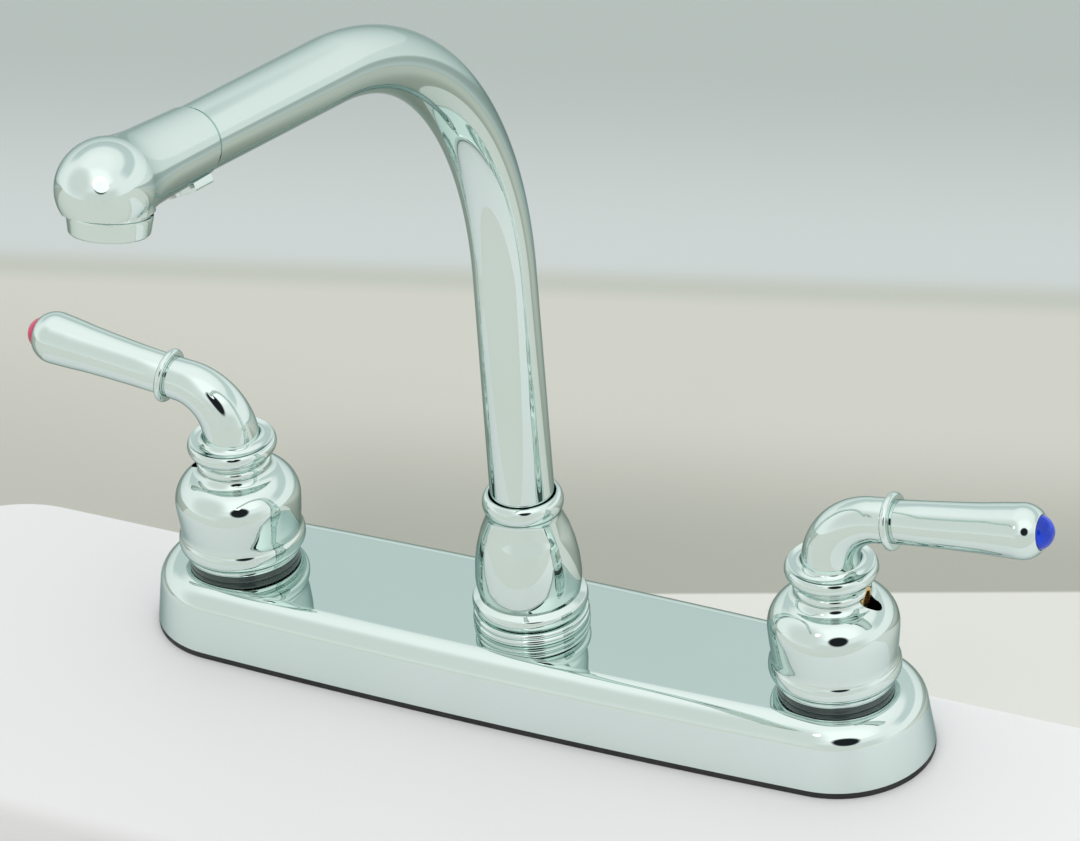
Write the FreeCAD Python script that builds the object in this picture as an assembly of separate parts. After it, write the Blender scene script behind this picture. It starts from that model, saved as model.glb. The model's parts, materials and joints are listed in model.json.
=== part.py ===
"""Two handle kitchen faucet: deck plate, two lever valves and a swivelling high spout.

Millimetres. The origin is on the underside of the deck gasket, where the faucet meets the
sink deck, on the axis of the spout. +Z is up, -Y is the front, where the user stands, and X
runs along the deck plate with the cold side at +X.
"""
import FreeCAD
import Part
import math
import os

V = FreeCAD.Vector
UP = V(0, 0, 1)
ORIGIN = V(0, 0, 0)

# ---------------------------------------------------------------- driving dimensions
HANDLE_CENTRES = 203.2      # 8 inch between the two shanks
SHANK_R = 10.45             # 1/2-14 NPSM thread, over its crests
SHANK_END_Z = -50.0
SHANK_FREE_TOP = -28.0      # free end of the thread, below a relief groove
SHANK_RELIEF_R = 9.6
SHANK_RELIEF = 2.0
DECK_T = 10.0               # sink deck that the nuts clamp
INLET_R = 6.0
RUN_GAP = 0.05              # radial clearance of a running fit
FREE_GAP = 0.4              # clearance where parts only pass each other

# deck plate and gasket
GASKET_T = 2.0
DECK_TOP_Z = 22.3
PLATE_PLAN = (102.3, 29.0, 31.0)    # end centre x, end radius, half width in the middle
PLATE_DRAFT = 3.0           # how far the walls lean in over the full height
PLATE_WALL = 2.0
PLATE_EDGE_R = 8.0

# valve below each handle
VALVE_BODY_R = 15.0
VALVE_BODY_TOP = DECK_TOP_Z - PLATE_WALL
VALVE_NECK_R = 12.5
VALVE_NECK_TOP = 30.0
POCKET_R = 9.5
POCKET_FLOOR = 8.0
PORT_Z = 11.5
TUBE_R = 5.0
TUBE_BORE_R = 3.8
STEM_R = 4.0
STEM_DRUM_R = 6.5
STEM_TOP = 64.0
DISC_R = 8.15
DISC_T = 3.4
FAN = 78.0                  # width of a window in the ceramic discs, in degrees

# handle bell, collar and lever
BASE_RING_R = 17.8
BASE_RING_TOP = 24.5
BELL_LIP_Z = 25.0
BELL_LIP_R = 18.3
BELL_FOOT_Z = 27.0
BELL_RIM_R = 20.1
BELL_WAIST_R = 19.25
BELL_SHOULDER_R = 19.9
NECK_R = 10.8
NECK_TOP_Z = 61.4
COLLAR_R = 14.1
COLLAR_TOP_Z = 65.8
GROOVE_R = 10.2
BOSS_R = 6.5                # boss of the bell inside the collar
BOSS_TOP_Z = 65.4
SET_SCREW_R = 3.4
SET_SCREW_Z = 55.4
SET_SCREW_LEN = 7.2
ELBOW_BASE_R = 9.0
ELBOW_END_R = 6.8
ELBOW_START_Z = 66.5
ELBOW_BEND_R = 17.0
LEVER_RISE = 8.0            # degrees above level
BEAD_AT = 4.45              # distance of the bead from the end of the bend
BEAD_T = 2.4
BEAD_R = 8.7
GRIP_LEN = 45.5
GRIP_END_R = 6.6
GRIP_BALL_R = 8.3
BUTTON_R = 5.1
BUTTON_RISE = 3.4

# spout
HUB_R = 15.5
HUB_NECK_R = 12.8
HUB_TOP = 44.0
HUB_BORE_R = 8.6
WEAR_TOP = 50.0             # top of the wear ring, where the bell's bore narrows
SPOUT_BELL_FOOT = 27.2
SPOUT_BELL_TOP = 68.0
SPOUT_BELL_R = 16.5
SPOUT_R_LOW = 10.0
SPOUT_R = 9.5
SPOUT_R_END = 9.1
SPOUT_R_IN_HEAD = 8.3
SPOUT_WALL = 1.2
SPOUT_FOOT_Z = 47.0
SPOUT_BEND_Z = 144.0
SPOUT_BEND_R = 115.0
SPOUT_BEND = 78.0           # degrees, so the arm still rises 12 degrees
ARM_LEN = 73.3              # bare tube from the bend to the head
ARM_INSERT = 22.0           # more tube inside the head, drawn in to a smaller size
HEAD_BALL_AT = 42.6         # ball centre, along the arm from the head's seam
HEAD_BALL_R = 12.2
HEAD_SEAM_R = 9.6
HEAD_SLEEVE_R = 10.1        # end of the sleeve, where the head starts to swell
HEAD_SLEEVE = 21.0
UNDERSIDE = -64.0           # where the tab and the screw sit round the head, in degrees
HEAD_SEAL_T = 1.2
OUTLET_BACK = 4.0           # outlet axis behind the ball centre
OUTLET_R = 11.5
OUTLET_DROP = 6.4           # arm axis down to the outlet lip
OUTLET_TILT = 3.0           # degrees that the outlet leans out, past square to the arm
RECESS_R = 16.0             # flat cut under the ball, centred OUTLET_BACK in front of the outlet
AERATOR_R = 10.95
AERATOR_FOOT_R = 10.4
AERATOR_H = 6.4
AERATOR_IN = 4.0            # thread of the aerator inside the head
THREAD_R = 10.0
AERATOR_BORE_R = 8.8
SCREEN_R = 6.8
TAB_LEN = 9.0
TAB_RISE = 1.6
TAB_HALF = 3.2
HEAD_SCREW_AT = 14.7


# ---------------------------------------------------------------- helpers
def outline(points):
    """Closed face in the XZ plane. A point is (r, z), and an arc is (via point, end point)."""
    edges = []
    last = V(points[0][0], 0, points[0][1])
    for item in list(points[1:]) + [points[0]]:
        if isinstance(item[0], tuple):
            via, end = (V(r, 0, z) for r, z in item)
            edges.append(Part.Arc(last, via, end).toShape())
        else:
            end = V(item[0], 0, item[1])
            if end.distanceToPoint(last) > 1e-6:
                edges.append(Part.LineSegment(last, end).toShape())
        last = end
    return Part.Face(Part.Wire(edges))


def turned(points):
    """Solid of revolution about Z."""
    return outline(points).revolve(ORIGIN, UP, 360)


def disc(radius, low, high):
    return Part.makeCylinder(radius, high - low, V(0, 0, low))


def ring(outer, inner, low, high):
    return disc(outer, low, high).cut(disc(inner, low - 1, high + 1))


def soft_ring(outer, inner, low, high, edge):
    """Ring whose outer edges are rounded."""
    mid = (low + high) / 2
    corner = outer - edge
    lean = edge * (1 - math.sqrt(0.5))
    return turned([(inner, low), (corner, low), ((outer - lean, low + lean), (outer, low + edge)),
                   (outer, mid), (outer, high - edge),
                   ((outer - lean, high - lean), (corner, high)), (inner, high)])


def o_ring(middle, thickness, z):
    return Part.makeTorus(middle, thickness / 2, V(0, 0, z))


def hexagon(across_flats, low, high):
    radius = across_flats / math.sqrt(3)
    corners = [V(radius * math.cos(math.radians(60 * i)), radius * math.sin(math.radians(60 * i)), low)
               for i in range(7)]
    return Part.Face(Part.makePolygon(corners)).extrude(V(0, 0, high - low))


def aim(shape, origin, direction):
    """Move a shape that was built about Z so that it starts at origin and points along direction."""
    shape = shape.copy()
    shape.Placement = FreeCAD.Placement(origin, FreeCAD.Rotation(UP, direction)).multiply(shape.Placement)
    return shape


def along_x(radius, start, end, z):
    return Part.makeCylinder(radius, end - start, V(start, 0, z), V(1, 0, 0))


def save(name, shape):
    shape = shape.removeSplitter()
    shape.exportStep("parts/" + name + ".step")
    print(name, "valid" if shape.isValid() else "INVALID", len(shape.Solids), "solids",
          round(shape.Volume / 1000, 3), "cm3")


# ---------------------------------------------------------------- deck plate and gasket
def plate_wire(z, inset=0.0):
    """Bar with round ends and slightly bowed long sides, each side tangent to the ends."""
    end_x, end_r, half = PLATE_PLAN
    end_r -= inset
    half -= inset
    side_r = (end_x ** 2 + half ** 2 - end_r ** 2) / (2 * (half - end_r))
    slope = math.atan2(side_r - half, end_x)
    touch_x = end_x + end_r * math.cos(slope)
    touch_y = end_r * math.sin(slope)
    arcs = [(V(-touch_x, -touch_y, z), V(0, -half, z), V(touch_x, -touch_y, z)),
            (V(touch_x, -touch_y, z), V(end_x + end_r, 0, z), V(touch_x, touch_y, z)),
            (V(touch_x, touch_y, z), V(0, half, z), V(-touch_x, touch_y, z)),
            (V(-touch_x, touch_y, z), V(-end_x - end_r, 0, z), V(-touch_x, -touch_y, z))]
    return Part.Wire([Part.Arc(*points).toShape() for points in arcs])


def plate_block(low, high, inset, edge):
    """Block between two heights whose walls lean in, with a rounded rim on top."""
    def lean(z):
        return inset + PLATE_DRAFT * (z - GASKET_T) / (DECK_TOP_Z - GASKET_T)
    block = Part.makeLoft([plate_wire(low, lean(low)), plate_wire(high, lean(high))], True, True)
    return block.makeFillet(edge, [e for e in block.Edges if e.BoundBox.ZMin > high - 0.01])


def make_deck_plate():
    plate = plate_block(GASKET_T, DECK_TOP_Z, 0, PLATE_EDGE_R)
    hollow = plate_block(GASKET_T - 0.01, DECK_TOP_Z - PLATE_WALL, PLATE_WALL, PLATE_EDGE_R - PLATE_WALL)
    plate = plate.cut(hollow)
    half = HANDLE_CENTRES / 2
    for x, radius in ((-half, VALVE_NECK_R), (half, VALVE_NECK_R), (0, HUB_NECK_R)):
        hole = disc(radius + FREE_GAP, DECK_TOP_Z - 8, DECK_TOP_Z + 8)
        plate = plate.cut(hole.translated(V(x, 0, 0)))
    return plate


def make_deck_gasket():
    pad = Part.Face(plate_wire(0)).extrude(V(0, 0, GASKET_T))
    half = HANDLE_CENTRES / 2
    for x in (-half, half):
        pad = pad.cut(disc(SHANK_R + FREE_GAP, -1, GASKET_T + 1).translated(V(x, 0, 0)))
    return pad


# ---------------------------------------------------------------- valve, built for the cold side
def make_valve_body():
    """Brass body: inlet shank, chamber for the cartridge and a port towards the spout."""
    relief = SHANK_FREE_TOP + SHANK_RELIEF
    body = turned([(INLET_R, SHANK_END_Z), (SHANK_R - 1, SHANK_END_Z), (SHANK_R, SHANK_END_Z + 1),
                   (SHANK_R, SHANK_FREE_TOP), (SHANK_RELIEF_R, SHANK_FREE_TOP),
                   (SHANK_RELIEF_R, relief), (SHANK_R, relief), (SHANK_R, GASKET_T),
                   (VALVE_BODY_R, GASKET_T), (VALVE_BODY_R, VALVE_BODY_TOP),
                   (VALVE_NECK_R, VALVE_BODY_TOP), (VALVE_NECK_R, VALVE_NECK_TOP),
                   (POCKET_R, VALVE_NECK_TOP), (POCKET_R, POCKET_FLOOR), (INLET_R, POCKET_FLOOR)])
    body = body.cut(along_x(TUBE_BORE_R, -VALVE_BODY_R - 1, -POCKET_R + 1, PORT_Z))
    return body.cut(along_x(TUBE_R, -VALVE_BODY_R - 1, -POCKET_R - 1.5, PORT_Z))


def make_seat_seal():
    return soft_ring(8.6, 6.4, POCKET_FLOOR, POCKET_FLOOR + 2, 0.6)


def make_ceramic_disc(low, turn):
    """Ceramic disc with two fan shaped windows; the discs shut the water off when crossed."""
    plate = disc(DISC_R, low, low + DISC_T)
    for start in (turn - FAN / 2, turn + 180 - FAN / 2):
        fan = Part.makeCylinder(6.4, DISC_T + 2, V(0, 0, low - 1), UP, FAN)
        fan = fan.cut(disc(2.6, low - 2, low + DISC_T + 2))
        plate = plate.cut(fan.rotated(ORIGIN, UP, start))
    return plate


FIXED_DISC_Z = POCKET_FLOOR + 2
MOVING_DISC_Z = FIXED_DISC_Z + DISC_T + RUN_GAP
DRUM_FOOT_Z = MOVING_DISC_Z + DISC_T
DRUM_TOP_Z = 31.0
CARTRIDGE_FLANGE_Z = VALVE_NECK_TOP
CARTRIDGE_TOP = 35.0


def make_cartridge():
    """Brass shell of the cartridge: flange on the body, and windows into a groove round it."""
    slip = DISC_R + RUN_GAP
    shell = turned([(slip, FIXED_DISC_Z), (POCKET_R, FIXED_DISC_Z), (POCKET_R, FIXED_DISC_Z + 1),
                    (8.9, FIXED_DISC_Z + 1), (8.9, 22.0), (POCKET_R, 22.0),
                    (POCKET_R, CARTRIDGE_FLANGE_Z), (11.6, CARTRIDGE_FLANGE_Z),
                    (11.6, CARTRIDGE_FLANGE_Z + 2), (POCKET_R, CARTRIDGE_FLANGE_Z + 2),
                    (POCKET_R, CARTRIDGE_TOP), (STEM_R + RUN_GAP, CARTRIDGE_TOP),
                    (STEM_R + RUN_GAP, DRUM_TOP_Z + 0.3), (STEM_DRUM_R + RUN_GAP, DRUM_TOP_Z + 0.3),
                    (STEM_DRUM_R + RUN_GAP, 20.5), (slip, 20.5)])
    window = along_x(1.5, -POCKET_R - 1, POCKET_R + 1, 18.6)
    return shell.cut(window).cut(window.rotated(ORIGIN, UP, 90))


def make_stem():
    """Drum on a bar that drives the moving disc, with a splined shaft for the handle above."""
    stem = turned([(0, DRUM_FOOT_Z + 3), (STEM_DRUM_R, DRUM_FOOT_Z + 3), (STEM_DRUM_R, 24.2),
                   (4.8, 24.2), (4.8, 26.4), (STEM_DRUM_R, 26.4), (STEM_DRUM_R, DRUM_TOP_Z),
                   (STEM_R, DRUM_TOP_Z), (STEM_R, STEM_TOP - 0.8), (STEM_R - 0.8, STEM_TOP),
                   (0, STEM_TOP)])
    bar = disc(7.6, DRUM_FOOT_Z, DRUM_FOOT_Z + 3).common(Part.makeBox(16, 4.4, 3, V(-8, -2.2, DRUM_FOOT_Z)))
    stem = stem.fuse(bar)
    flute = disc(0.55, 44, STEM_TOP + 1)
    for i in range(16):
        a = math.radians(360 / 16 * i)
        stem = stem.cut(flute.translated(V(STEM_R * math.cos(a), STEM_R * math.sin(a), 0)))
    return stem


def make_stem_o_ring():
    return o_ring(5.65, 1.68, 25.3)


def make_bonnet_nut():
    nut = hexagon(28.0, 26.4, 34.0).cut(disc(VALVE_NECK_R, 26, CARTRIDGE_FLANGE_Z))
    nut = nut.cut(disc(11.6, CARTRIDGE_FLANGE_Z - 0.5, CARTRIDGE_FLANGE_Z + 2))
    nut = nut.cut(disc(POCKET_R + 0.1, 30, 36))
    return nut.common(disc(15.6, 26, 35))


def make_plate_nut():
    nut = ring(15.8, VALVE_NECK_R, DECK_TOP_Z, DECK_TOP_Z + 3.4)
    for i in range(4):
        notch = Part.makeBox(3.2, 3.2, 6, V(14.2, -1.6, DECK_TOP_Z + 1.2))
        nut = nut.cut(notch.rotated(ORIGIN, UP, 90 * i + 45))
    return nut


def make_base_ring():
    """Dark ring on the deck that the bell of the handle turns above."""
    return soft_ring(BASE_RING_R, 16.2, DECK_TOP_Z, BASE_RING_TOP, 0.3)


def make_mounting_washer():
    return soft_ring(21.0, SHANK_R + FREE_GAP, -DECK_T - 2, -DECK_T, 0.5)


def make_mounting_nut():
    """Wing nut that pulls the faucet down on the sink deck from below."""
    top = -DECK_T - 2
    nut = disc(20.0, top - 3, top).fuse(disc(14.5, top - 12, top))
    for i in range(4):
        wing = Part.makeBox(9.0, 3.0, 10.0, V(13.0, -1.5, top - 12))
        wing = wing.makeFillet(1.2, [e for e in wing.Edges if e.BoundBox.ZLength > 9])
        nut = nut.fuse(wing.rotated(ORIGIN, UP, 90 * i + 45))
    return nut.cut(disc(SHANK_R, top - 13, top + 1))


# ---------------------------------------------------------------- handle, built for the cold side
def make_handle_bell():
    """Skirt over the valve, drawn in to a neck with a bead; its boss carries the lever."""
    shell = turned([(16.8, BELL_LIP_Z), (BELL_LIP_R, BELL_LIP_Z), (BELL_LIP_R, 26.2),
                    (17.8, 26.4), (17.8, BELL_FOOT_Z), (18.9, BELL_FOOT_Z),
                    ((19.85, 28.0), (BELL_RIM_R, 30.0)), ((19.85, 32.6), (BELL_WAIST_R, 34.4)),
                    ((19.4, 39.0), (BELL_SHOULDER_R, 43.5)), ((18.4, 49.1), (13.9, 53.0)),
                    ((11.9, 53.9), (NECK_R, 55.8)),
                    ((NECK_R + 1.0, 57.4), (NECK_R, 58.9)), (GROOVE_R, 59.2),
                    (GROOVE_R, 60.0), (NECK_R, 60.3), (NECK_R, NECK_TOP_Z), (BOSS_R, NECK_TOP_Z),
                    (BOSS_R, BOSS_TOP_Z), (STEM_R, BOSS_TOP_Z), (STEM_R, 46.6), (15.0, 46.6),
                    (17.6, 41.5), (17.6, BELL_FOOT_Z + 0.6), (16.8, BELL_FOOT_Z + 0.6)])
    hole = Part.makeCylinder(SET_SCREW_R, 2 * NECK_R, V(STEM_R, 0, SET_SCREW_Z), V(1, 0, 0))
    return shell.cut(hole)


def make_set_screw():
    """Hollow brass screw that grips the stem; its open end shows beside the neck."""
    end = SET_SCREW_LEN
    screw = turned([(0, 0), (1.8, 0), (SET_SCREW_R, 1.6), (SET_SCREW_R, end - 0.3),
                    (SET_SCREW_R - 0.3, end), (0, end)])
    socket = hexagon(4.0, end - 3.6, end + 1)
    return aim(screw.cut(socket), V(STEM_R, 0, SET_SCREW_Z), V(1, 0, 0))


LEVER_TURN = 90.0 - LEVER_RISE
LEVER_DIR = V(math.cos(math.radians(LEVER_RISE)), 0, math.sin(math.radians(LEVER_RISE)))
ELBOW_END = V(ELBOW_BEND_R * (1 - math.cos(math.radians(LEVER_TURN))), 0,
              ELBOW_START_Z + ELBOW_BEND_R * math.sin(math.radians(LEVER_TURN)))


def on_lever(distance):
    return ELBOW_END + LEVER_DIR * distance


def make_lever_elbow():
    """Collar and elbow in one casting: the tube narrows as it turns out to the lever."""
    base = turned([(0, NECK_TOP_Z), (13.1, NECK_TOP_Z), ((COLLAR_R, 63.6), (13.2, COLLAR_TOP_Z)),
                   ((10.9, 65.2), (ELBOW_BASE_R, ELBOW_START_Z)), (0, ELBOW_START_Z)])
    stations = 7
    sections = []
    for i in range(stations):
        share = i / (stations - 1)
        a = math.radians(LEVER_TURN * share)
        radius = ELBOW_BASE_R + (ELBOW_END_R - ELBOW_BASE_R) * share
        centre = V(ELBOW_BEND_R * (1 - math.cos(a)), 0, ELBOW_START_Z + ELBOW_BEND_R * math.sin(a))
        sections.append(Part.Wire(Part.makeCircle(radius, centre, V(math.sin(a), 0, math.cos(a)))))
    bend = Part.makeLoft(sections, True, False)
    arm = aim(disc(ELBOW_END_R, 0, BEAD_AT), ELBOW_END, LEVER_DIR)
    elbow = base.fuse(bend).fuse(arm)
    elbow = elbow.cut(disc(BOSS_R, NECK_TOP_Z - 1, BOSS_TOP_Z))
    tapped = aim(disc(2.2, -6.0, BEAD_AT + 1), ELBOW_END, LEVER_DIR)
    return elbow.cut(tapped)


def make_bead_ring():
    bead = turned([(2.6, 0), (7.6, 0), ((BEAD_R, BEAD_T / 2), (7.6, BEAD_T)), (2.6, BEAD_T)])
    return aim(bead, on_lever(BEAD_AT), LEVER_DIR)


def make_grip():
    """Slim grip that swells to a round end, counterbored for its screw and button."""
    end = GRIP_LEN
    grip = turned([(2.6, 0), (GRIP_END_R, 0), ((6.98, 16.0), (7.5, 27.3)),
                   ((8.1, 34.6), (GRIP_BALL_R, 38.4)), ((7.5, 43.0), (BUTTON_R + 0.4, end)),
                   (BUTTON_R, end), (BUTTON_R, end - 5.0), (2.6, end - 5.0)])
    return aim(grip, on_lever(BEAD_AT + BEAD_T), LEVER_DIR)


def make_grip_screw():
    """Long screw through the grip and the bead into the elbow."""
    head_at = BEAD_AT + BEAD_T + GRIP_LEN - 5.0
    screw = turned([(0, -5.0), (2.2, -5.0), (2.2, head_at), (4.4, head_at),
                    ((4.0, head_at + 2.0), (2.6, head_at + 2.6)), (0, head_at + 2.6)])
    slot = Part.makeBox(1.2, 9.0, 3.0, V(-0.6, -4.5, head_at + 1.3))
    cross = slot.rotated(ORIGIN, UP, 90)
    return aim(screw.cut(slot).cut(cross), ELBOW_END, LEVER_DIR)


def make_index_button():
    """Domed coloured button that hides the screw; the dome is part of a ball."""
    seat = BEAD_AT + BEAD_T + GRIP_LEN
    foot = seat - 2.2
    edge = seat + 0.2
    top = edge + BUTTON_RISE
    ball = (BUTTON_R ** 2 + BUTTON_RISE ** 2) / (2 * BUTTON_RISE)
    a = math.asin(BUTTON_R / ball) / 2
    half_way = (ball * math.sin(a), top - ball * (1 - math.cos(a)))
    button = turned([(0, foot), (BUTTON_R, foot), (BUTTON_R, edge), (half_way, (0, top))])
    return aim(button, ELBOW_END, LEVER_DIR)


# ---------------------------------------------------------------- spout
def make_hub():
    """Brass centre body: both water paths meet here and rise into the spout."""
    hub = turned([(0, GASKET_T), (HUB_R, GASKET_T), (HUB_R, VALVE_BODY_TOP),
                  (HUB_NECK_R, VALVE_BODY_TOP), (HUB_NECK_R, HUB_TOP), (HUB_BORE_R, HUB_TOP),
                  (HUB_BORE_R, 17.0), (0, 17.0)])
    well = disc(HUB_BORE_R, PORT_Z - 5, 18)
    ports = along_x(TUBE_BORE_R, -HUB_R - 1, HUB_R + 1, PORT_Z)
    for start, end in ((-HUB_R - 1, -HUB_BORE_R - 2), (HUB_BORE_R + 2, HUB_R + 1)):
        ports = ports.fuse(along_x(TUBE_R, start, end, PORT_Z))
    return hub.cut(well).cut(ports)


def make_cross_tube():
    """Water tube from the cold valve to the hub."""
    start = HUB_BORE_R + 2
    end = HANDLE_CENTRES / 2 - POCKET_R - 1.5
    return along_x(TUBE_R, start, end, PORT_Z).cut(along_x(TUBE_BORE_R, start - 1, end + 1, PORT_Z))


def make_spout_base_ring():
    """Chrome ring of two beads between the deck and the spout bell, with a gap above it."""
    top = SPOUT_BELL_FOOT
    return turned([(13.6, DECK_TOP_Z), (17.4, DECK_TOP_Z), ((18.1, 23.4), (17.5, 24.7)),
                   ((17.9, 25.5), (17.2, 26.7)), (15.2, 26.7), (15.2, top), (13.6, top)])


def make_spout_bell():
    """Bell shaped nut screwed on the hub, which keeps the spout down and lets it swivel."""
    foot = SPOUT_BELL_FOOT
    top = SPOUT_BELL_TOP
    return turned([(HUB_NECK_R, foot), (15.2, foot), (15.2, foot + 0.3), (17.0, foot + 0.3),
                   ((17.9, 29.2), (17.5, 31.4)), (15.6, 32.4),
                   ((16.3, 35.6), (SPOUT_BELL_R, 38.8)), ((15.1, 49.9), (11.6, 60.0)),
                   (11.5, 61.0), (11.7, 62.0),
                   ((12.5, 65.0), (11.7, 67.4)), (11.0, top), (SPOUT_R_LOW + FREE_GAP, top),
                   (SPOUT_R_LOW + FREE_GAP, WEAR_TOP), (HUB_NECK_R, WEAR_TOP)])


def make_spout_tail():
    """Swivel tail in the foot of the spout, turned for two seals and a flange."""
    bore = 6.2
    slip = HUB_BORE_R - RUN_GAP
    plug = SPOUT_R_LOW - SPOUT_WALL - 0.1
    return turned([(bore, 20.0), (slip - 0.8, 20.0), (slip, 20.8), (slip, 24.0), (6.9, 24.0),
                   (6.9, 26.6), (slip, 26.6), (slip, 31.0), (6.9, 31.0), (6.9, 33.6),
                   (slip, 33.6), (slip, HUB_TOP + 1.6), (11.6, HUB_TOP + 1.6),
                   (11.6, SPOUT_FOOT_Z), (plug, SPOUT_FOOT_Z), (plug, 54.0), (bore, 54.0)])


def make_tail_o_rings():
    return Part.makeCompound([o_ring(7.72, 1.62, z) for z in (25.3, 32.3)])


def make_glide_ring():
    return ring(11.6, HUB_BORE_R, HUB_TOP + RUN_GAP, HUB_TOP + 1.6)


def make_wear_ring():
    """Split plastic ring in the bell, above the flange of the tail, that guides the spout."""
    low = SPOUT_FOOT_Z + RUN_GAP
    split = ring(HUB_NECK_R, SPOUT_R_LOW + RUN_GAP, low, WEAR_TOP)
    return split.cut(Part.makeBox(2, 20, 8, V(-1, 0, SPOUT_FOOT_Z)))


ARM_RISE = 90.0 - SPOUT_BEND
ARM_DIR = V(0, -math.cos(math.radians(ARM_RISE)), math.sin(math.radians(ARM_RISE)))
OUTLET_LEAN = math.radians(ARM_RISE + OUTLET_TILT)
OUTLET_DIR = V(0, -math.sin(OUTLET_LEAN), -math.cos(OUTLET_LEAN))
OUTLET_FORWARD = V(0, -math.cos(OUTLET_LEAN), math.sin(OUTLET_LEAN))
BEND_END = V(0, -SPOUT_BEND_R * (1 - math.cos(math.radians(SPOUT_BEND))),
             SPOUT_BEND_Z + SPOUT_BEND_R * math.sin(math.radians(SPOUT_BEND)))


def on_arm(distance):
    return BEND_END + ARM_DIR * distance


def spout_rod(shrink, extra):
    """Solid along the spout's path: upright, one bend, then the arm and its narrower end."""
    foot = SPOUT_FOOT_Z - extra
    upright = Part.makeCone(SPOUT_R_LOW - shrink, SPOUT_R - shrink, SPOUT_BEND_Z - foot, V(0, 0, foot))
    section = Part.Face(Part.Wire(Part.makeCircle(SPOUT_R - shrink, V(0, 0, SPOUT_BEND_Z))))
    bend = section.revolve(V(0, -SPOUT_BEND_R, SPOUT_BEND_Z), V(1, 0, 0), SPOUT_BEND)
    bare = ARM_LEN - shrink
    arm = Part.makeCone(SPOUT_R - shrink, SPOUT_R_END - shrink, bare, BEND_END, ARM_DIR)
    end = Part.makeCylinder(SPOUT_R_IN_HEAD - shrink, ARM_INSERT + shrink + extra, on_arm(bare), ARM_DIR)
    return upright.fuse(bend).fuse(arm).fuse(end)


def make_spout_tube():
    return spout_rod(0, 0).cut(spout_rod(SPOUT_WALL, 0.5))


def on_head(shape):
    """Place a shape that was built about Z on the arm, with its foot on the head's seam."""
    return aim(shape, on_arm(ARM_LEN), ARM_DIR)


def at_outlet(shape):
    return aim(shape, on_arm(ARM_LEN + HEAD_BALL_AT - OUTLET_BACK), OUTLET_DIR)


def make_spout_head():
    """Head over the end of the arm: a sleeve that ends in a ball, with the outlet below it."""
    ball = HEAD_BALL_AT
    slant = HEAD_BALL_R * math.sqrt(0.5)
    body = turned([(0, 0), (HEAD_SEAM_R - 0.3, 0), (HEAD_SEAM_R, 0.3), (HEAD_SLEEVE_R, HEAD_SLEEVE),
                   ((10.5, 28.0), (11.3, 35.0)), ((HEAD_BALL_R, ball), (slant, ball + slant)),
                   ((HEAD_BALL_R * math.sin(math.radians(22.5)),
                     ball + HEAD_BALL_R * math.cos(math.radians(22.5))), (0, ball + HEAD_BALL_R))])
    lip = OUTLET_DROP
    boss = at_outlet(Part.makeCone(OUTLET_R - 0.5, OUTLET_R, lip + 1))
    well_top = lip - AERATOR_IN - 1.4
    well = at_outlet(turned([(0, -0.5), (7.0, -0.5), (7.0, well_top), (THREAD_R, well_top),
                             (THREAD_R, lip + 1), (0, lip + 1)]))
    below = at_outlet(disc(RECESS_R, lip, lip + 20)).translated(OUTLET_FORWARD * OUTLET_BACK)
    head = on_head(body).fuse(boss).cut(well).cut(below)
    socket = disc(SPOUT_R_IN_HEAD, -1, ARM_INSERT + HEAD_SEAL_T)
    channel = disc(7.0, 0, ball - OUTLET_BACK)
    return head.cut(on_head(socket.fuse(channel))).cut(on_head(head_screw_blank()))


def make_head_seal():
    """Washer between the end of the tube and the floor of the head's socket."""
    return on_head(ring(SPOUT_R_IN_HEAD, 7.1, ARM_INSERT, ARM_INSERT + HEAD_SEAL_T))


def make_head_tab():
    """Small latch tab low on the side of the head, next to the seam."""
    tab = Part.makeBox(TAB_RISE + 1.2, 2 * TAB_HALF, TAB_LEN, V(HEAD_SEAM_R - 1.0, -TAB_HALF, 0.6))
    tab = tab.makeFillet(0.5, [e for e in tab.Edges if e.BoundBox.XMin > HEAD_SEAM_R + 1.0])
    tab = tab.rotated(ORIGIN, UP, UNDERSIDE)
    core = Part.makeCone(HEAD_SEAM_R, HEAD_SLEEVE_R, HEAD_SLEEVE - 0.3, V(0, 0, 0.3))
    return on_head(tab.cut(core))


def head_screw_blank():
    screw = Part.makeCylinder(1.6, 2.4, V(SPOUT_R_IN_HEAD, 0, HEAD_SCREW_AT), V(1, 0, 0))
    return screw.rotated(ORIGIN, UP, UNDERSIDE)


def make_head_screw():
    """Small screw low on the head that locks it on the tube."""
    socket = Part.makeCylinder(0.8, 3.0, V(SPOUT_R_IN_HEAD + 1.4, 0, HEAD_SCREW_AT), V(1, 0, 0))
    tube = disc(SPOUT_R_IN_HEAD, 10, 30)
    return on_head(head_screw_blank().cut(socket.rotated(ORIGIN, UP, UNDERSIDE)).cut(tube))


def make_aerator_housing():
    lip = OUTLET_DROP
    foot = lip + AERATOR_H
    return at_outlet(turned([(AERATOR_BORE_R, lip - AERATOR_IN), (THREAD_R, lip - AERATOR_IN),
                             (THREAD_R, lip), (AERATOR_R, lip),
                             ((AERATOR_R, lip + 1.2), (AERATOR_R - 0.1, lip + 2.4)),
                             (AERATOR_FOOT_R, foot - 0.5), (AERATOR_FOOT_R - 0.5, foot),
                             (8.1, foot), (8.1, foot - 1.2), (AERATOR_BORE_R, foot - 1.2)]))


def make_aerator_insert():
    lip = OUTLET_DROP
    return at_outlet(ring(AERATOR_BORE_R, SCREEN_R, lip - AERATOR_IN + 1, lip + AERATOR_H - 1.2))


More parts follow.
